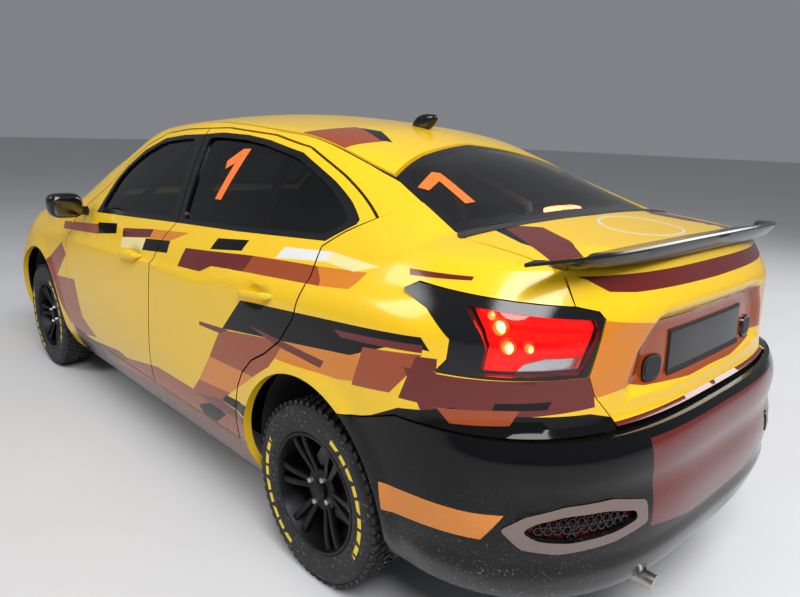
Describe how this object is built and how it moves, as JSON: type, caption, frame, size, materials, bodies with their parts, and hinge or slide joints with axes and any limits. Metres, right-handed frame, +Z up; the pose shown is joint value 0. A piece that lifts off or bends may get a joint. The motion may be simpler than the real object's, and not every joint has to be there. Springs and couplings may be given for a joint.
{
  "type": "rally car",
  "caption": "Four-door rally saloon with opening doors, bonnet and boot lid, steered front wheels, roll cage, bucket seats and rear lip spoiler.",
  "frame": {"origin": "on the ground, at mid-length and mid-width", "axes": "+X forward to the nose, +Y to the car's left, +Z up"},
  "size_m": [4.41, 1.964, 1.487],
  "materials": {
    "body_paint": "gloss",
    "black_trim": "gloss",
    "black_plastic": "matt",
    "glass": "tinted",
    "lamp_red": "gloss",
    "lamp_clear": "clear",
    "tyre": "matt",
    "rim": "satin",
    "chassis": "satin",
    "steel": "satin",
    "cast": "matt",
    "guard": "brushed",
    "seat_fabric": "matt",
    "cage_paint": "satin"
  },
  "bodies": {
    "body": {"floor_pan": "chassis", "bulkheads": "chassis", "side_frame_left": "body_paint", "side_frame_right": "body_paint", "roof": "body_paint", "fender_front_left": "body_paint", "fender_front_right": "body_paint", "windscreen": "glass", "rear_window": "glass", "front_bumper": "body_paint", "rear_bumper": "black_plastic", "headlamps": "lamp_clear", "tail_lamps": "lamp_red", "front_subframe": "chassis", "rear_axle": "chassis", "engine_block": "cast", "exhaust": "steel", "sump_guard": "guard", "dashboard": "black_plastic", "bucket_seats": "seat_fabric", "roll_cage": "cage_paint"},
    "bonnet": {"bonnet": "body_paint"},
    "boot_lid": {"boot_lid": "body_paint", "boot_spoiler": "black_trim"},
    "front_door_left": {"door_front_left": "body_paint", "door_glass_front_left": "glass", "mirror_left": "black_trim"},
    "rear_door_left": {"door_rear_left": "body_paint", "door_glass_rear_left": "glass"},
    "front_knuckle_left": {"front_knuckle_left": "cast"},
    "front_wheel_left": {"tyre_front_left": "tyre", "rim_front_left": "rim"},
    "rear_wheel_left": {"tyre_rear_left": "tyre", "rim_rear_left": "rim"},
    "front_door_right": {"door_front_right": "body_paint", "door_glass_front_right": "glass", "mirror_right": "black_trim"},
    "rear_door_right": {"door_rear_right": "body_paint", "door_glass_rear_right": "glass"},
    "front_knuckle_right": {"front_knuckle_right": "cast"},
    "front_wheel_right": {"tyre_front_right": "tyre", "rim_front_right": "rim"},
    "rear_wheel_right": {"tyre_rear_right": "tyre", "rim_rear_right": "rim"},
    "steering_wheel": {"steering_wheel": "black_plastic"}
  },
  "joints": [
    {"name": "steer_left", "type": "hinge", "parent": "body", "child": "front_knuckle_left", "pos_m": [1.345, 0.7, 0.215], "axis": [-0.0386, -0.1847, 0.982], "range_deg": [-32, 32]},
    {"name": "front_wheel_spin_left", "type": "hinge", "parent": "front_knuckle_left", "child": "front_wheel_left", "pos_m": [1.34, 0.755, 0.302], "axis": [0, 1, 0], "continuous": true},
    {"name": "rear_wheel_spin_left", "type": "hinge", "parent": "body", "child": "rear_wheel_left", "pos_m": [-1.295, 0.755, 0.302], "axis": [0, 1, 0], "continuous": true},
    {"name": "front_door_hinge_left", "type": "hinge", "parent": "body", "child": "front_door_left", "pos_m": [0.797, 0.855, 0.7], "axis": [0, 0, -1], "range_deg": [0, 65]},
    {"name": "rear_door_hinge_left", "type": "hinge", "parent": "body", "child": "rear_door_left", "pos_m": [-0.243, 0.86, 0.7], "axis": [0, 0, -1], "range_deg": [0, 65]},
    {"name": "steer_right", "type": "hinge", "parent": "body", "child": "front_knuckle_right", "pos_m": [1.345, -0.7, 0.215], "axis": [-0.0386, 0.1847, 0.982], "range_deg": [-32, 32]},
    {"name": "front_wheel_spin_right", "type": "hinge", "parent": "front_knuckle_right", "child": "front_wheel_right", "pos_m": [1.34, -0.755, 0.302], "axis": [0, 1, 0], "continuous": true},
    {"name": "rear_wheel_spin_right", "type": "hinge", "parent": "body", "child": "rear_wheel_right", "pos_m": [-1.295, -0.755, 0.302], "axis": [0, 1, 0], "continuous": true},
    {"name": "front_door_hinge_right", "type": "hinge", "parent": "body", "child": "front_door_right", "pos_m": [0.797, -0.855, 0.7], "axis": [0, 0, 1], "range_deg": [0, 65]},
    {"name": "rear_door_hinge_right", "type": "hinge", "parent": "body", "child": "rear_door_right", "pos_m": [-0.243, -0.86, 0.7], "axis": [0, 0, 1], "range_deg": [0, 65]},
    {"name": "steering_column", "type": "hinge", "parent": "body", "child": "steering_wheel", "pos_m": [0.345, 0.37, 0.89], "axis": [-0.9272, 0, 0.3746], "range_deg": [-450, 450]},
    {"name": "bonnet_hinge", "type": "hinge", "parent": "body", "child": "bonnet", "pos_m": [0.985, 0, 0.985], "axis": [0, -1, 0], "range_deg": [0, 55]},
    {"name": "boot_hinge", "type": "hinge", "parent": "body", "child": "boot_lid", "pos_m": [-1.46, 0, 1.095], "axis": [0, 1, 0], "range_deg": [0, 70]}
  ],
  "couplings": [
    {"joint": "steer_right", "follows": "steer_left", "ratio": 1},
    {"joint": "steering_column", "follows": "steer_left", "ratio": 14}
  ]
}
